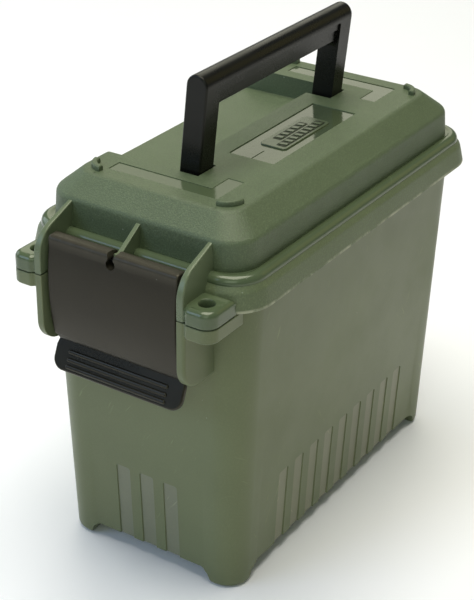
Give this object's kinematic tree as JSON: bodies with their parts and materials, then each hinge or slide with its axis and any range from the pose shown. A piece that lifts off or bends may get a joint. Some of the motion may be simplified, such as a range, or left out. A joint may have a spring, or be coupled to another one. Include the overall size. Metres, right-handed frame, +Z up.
{
  "type": "hard-shell battery storage box",
  "caption": "Upright moulded plastic box with a hinged sealed lid, a wide front latch and a fold-down carry handle, for storing model batteries.",
  "frame": {"origin": "centre of the outline's footprint, on the plane that the feet stand on", "axes": "+Z up, -Y to the latch side, +Y to the hinge side, +X to the right when facing the latch from the front"},
  "size_m": [0.1316, 0.2552, 0.253],
  "materials": {
    "tub_plastic": "satin olive-green moulded plastic",
    "lid_plastic": "olive-green moulded plastic with a fine texture, glossy in the shallow recesses and along the bead",
    "badge_plastic": "glossy olive-green plastic",
    "black_plastic": "satin black moulded plastic",
    "seal_rubber": "matt black rubber",
    "pin_steel": "plain steel"
  },
  "bodies": {
    "tub": {"tub": "tub_plastic", "hinge_pin_left": "pin_steel", "hinge_pin_right": "pin_steel"},
    "lid": {"lid_shell": "lid_plastic", "lid_seal": "seal_rubber", "badge_plate": "badge_plastic", "handle_pin_front": "pin_steel", "handle_pin_rear": "pin_steel", "latch_pin": "pin_steel"},
    "latch": {"latch": "black_plastic"},
    "handle": {"carry_handle": "black_plastic"}
  },
  "joints": [
    {"name": "lid_hinge", "type": "hinge", "parent": "tub", "child": "lid", "pos_m": [0, 0.1231, 0.165], "axis": [-1, 0, 0], "range_deg": [0, 110]},
    {"name": "latch_swing", "type": "hinge", "parent": "lid", "child": "latch", "pos_m": [0, -0.1185, 0.1805], "axis": [-1, 0, 0], "range_deg": [0, 110]},
    {"name": "handle_fold", "type": "hinge", "parent": "lid", "child": "handle", "pos_m": [0.0012, 0.003, 0.1986], "axis": [0, -1, 0], "range_deg": [0, 95]}
  ]
}
